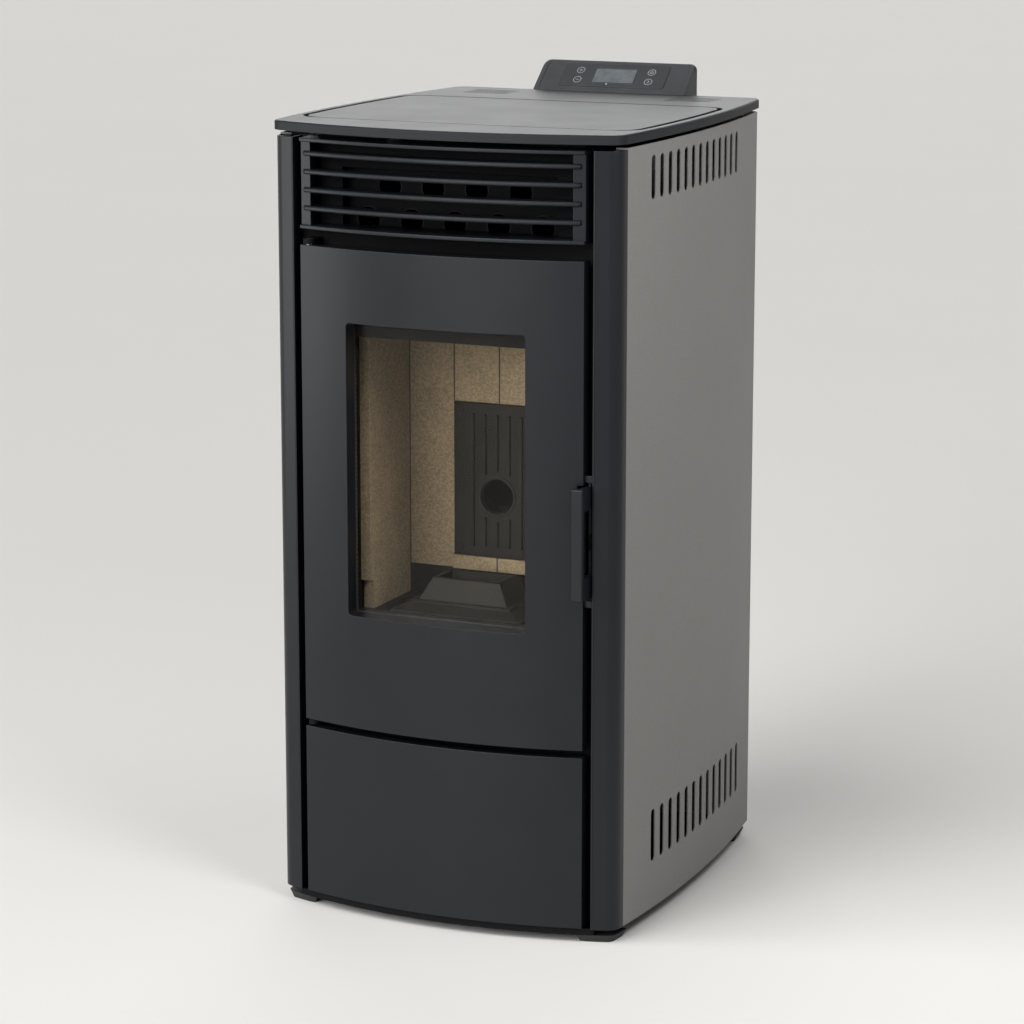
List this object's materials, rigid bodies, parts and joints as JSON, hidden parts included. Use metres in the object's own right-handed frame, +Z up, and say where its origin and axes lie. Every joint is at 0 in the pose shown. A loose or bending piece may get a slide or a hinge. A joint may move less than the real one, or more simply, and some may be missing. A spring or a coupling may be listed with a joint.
{
  "type": "pellet stove",
  "caption": "Free-standing pellet stove with a bowed front, a glazed fire door, a warm air grille, slotted sides, an ash drawer and a lidded hopper.",
  "frame": {"origin": "centre of the bounding box on the floor", "axes": "+Z up, the front with the door looks along -Y, +X to the right of someone facing the stove"},
  "size_m": [0.4652, 0.5809, 0.992],
  "materials": {
    "anthracite_powder_coat": "fine satin powder coat",
    "grey_metallic_paint": "metallic paint, satin",
    "black_heat_paint": "matt heat-proof paint",
    "cast_iron": "raw cast, slightly grainy",
    "vermiculite_board": "pressed fireproof board, matt",
    "ceramic_glass": "clear heat-proof glass",
    "glass_fibre_black": "braided glass fibre rope and tape",
    "zinc_coated_steel": "zinc-coated sheet",
    "bright_steel": "turned or drawn steel",
    "blackened_steel": "oiled and blackened steel",
    "cast_aluminium": "die cast",
    "black_motor_paint": "baked enamel",
    "circuit_board": "solder resist",
    "black_plastic": "moulded, fine grain",
    "console_plastic": "moulded, fine grain",
    "fascia_film": "printed film",
    "display_glass": "dark liquid crystal window",
    "rubber_feet": "moulded rubber"
  },
  "bodies": {
    "cabinet": {"feet": "rubber_feet", "base_pan": "black_heat_paint", "left_column": "anthracite_powder_coat", "right_column": "anthracite_powder_coat", "left_side_panel": "grey_metallic_paint", "right_side_panel": "grey_metallic_paint", "bulkhead": "black_heat_paint", "rear_panel": "zinc_coated_steel", "grille_frame": "anthracite_powder_coat", "grille_blades": "anthracite_powder_coat", "door_hinge_brackets": "black_heat_paint", "latch_strike": "blackened_steel", "drawer_runners": "blackened_steel", "firebox_shell": "black_heat_paint", "left_liner": "vermiculite_board", "right_liner": "vermiculite_board", "back_liner_boards": "vermiculite_board", "baffle": "vermiculite_board", "cast_back_plate": "cast_iron", "pot_carrier": "cast_iron", "burn_pot": "cast_iron", "igniter": "bright_steel", "smoke_box": "black_heat_paint", "exchanger_tubes": "blackened_steel", "smoke_duct": "black_heat_paint", "exhaust_fan_housing": "cast_aluminium", "exhaust_motor": "black_motor_paint", "flue_spigot": "black_heat_paint", "air_intake_pipe": "zinc_coated_steel", "hopper": "zinc_coated_steel", "hopper_guard": "bright_steel", "auger_tube": "zinc_coated_steel", "auger_gear_motor": "cast_aluminium", "pellet_chute": "black_heat_paint", "blower_housing": "zinc_coated_steel", "blower_motor": "black_motor_paint", "control_board": "circuit_board", "power_inlet": "black_plastic", "inner_deck": "black_heat_paint", "top_plate": "anthracite_powder_coat", "lid_hinge_brackets": "zinc_coated_steel", "hopper_seal": "glass_fibre_black", "console_housing": "console_plastic", "console_fascia": "fascia_film", "display_window": "display_glass"},
    "fire_door": {"door_panel": "anthracite_powder_coat", "door_hinge_pins": "bright_steel", "door_inner_frame": "black_heat_paint", "door_glass": "ceramic_glass", "glass_tapes": "glass_fibre_black", "door_rope_seal": "glass_fibre_black"},
    "handle": {"door_handle": "anthracite_powder_coat", "latch_cam": "blackened_steel"},
    "ash_drawer": {"ash_drawer_front": "anthracite_powder_coat", "ash_pan": "zinc_coated_steel"},
    "hopper_lid": {"hopper_lid": "anthracite_powder_coat"},
    "auger": {"auger_screw": "bright_steel"},
    "exhaust_wheel": {"exhaust_impeller": "bright_steel"},
    "blower_wheel": {"blower_rotor": "cast_aluminium"},
    "rocker": {"power_switch": "black_plastic"}
  },
  "joints": [
    {"name": "fire_door_swing", "type": "hinge", "parent": "cabinet", "child": "fire_door", "pos_m": [-0.1725, -0.2565, 0.5245], "axis": [0, 0, -1], "range_deg": [0, 100]},
    {"name": "handle_pull", "type": "hinge", "parent": "fire_door", "child": "handle", "pos_m": [0.1865, -0.2525, 0.486], "axis": [0, 0, -1], "range_deg": [0, 20], "stiffness_Nm_per_rad": 1, "springref_deg": -5.73},
    {"name": "ash_drawer_slide", "type": "slide", "parent": "cabinet", "child": "ash_drawer", "axis": [0, -1, 0], "range_m": [0, 0.24]},
    {"name": "hopper_lid_lift", "type": "hinge", "parent": "cabinet", "child": "hopper_lid", "pos_m": [0, 0.1085, 0.9508], "axis": [-1, 0, 0], "range_deg": [0, 78]},
    {"name": "auger_spin", "type": "hinge", "parent": "cabinet", "child": "auger", "pos_m": [0, 0.1325, 0.472], "axis": [0, -0.8192, 0.5736], "continuous": true},
    {"name": "exhaust_fan_spin", "type": "hinge", "parent": "cabinet", "child": "exhaust_wheel", "pos_m": [0, 0.1145, 0.14], "axis": [1, 0, 0], "continuous": true},
    {"name": "room_blower_spin", "type": "hinge", "parent": "cabinet", "child": "blower_wheel", "pos_m": [0, 0.1745, 0.28], "axis": [1, 0, 0], "continuous": true},
    {"name": "power_switch_rock", "type": "hinge", "parent": "cabinet", "child": "rocker", "pos_m": [-0.14, 0.2355, 0.12604], "axis": [1, 0, 0], "range_deg": [0, 14]}
  ]
}
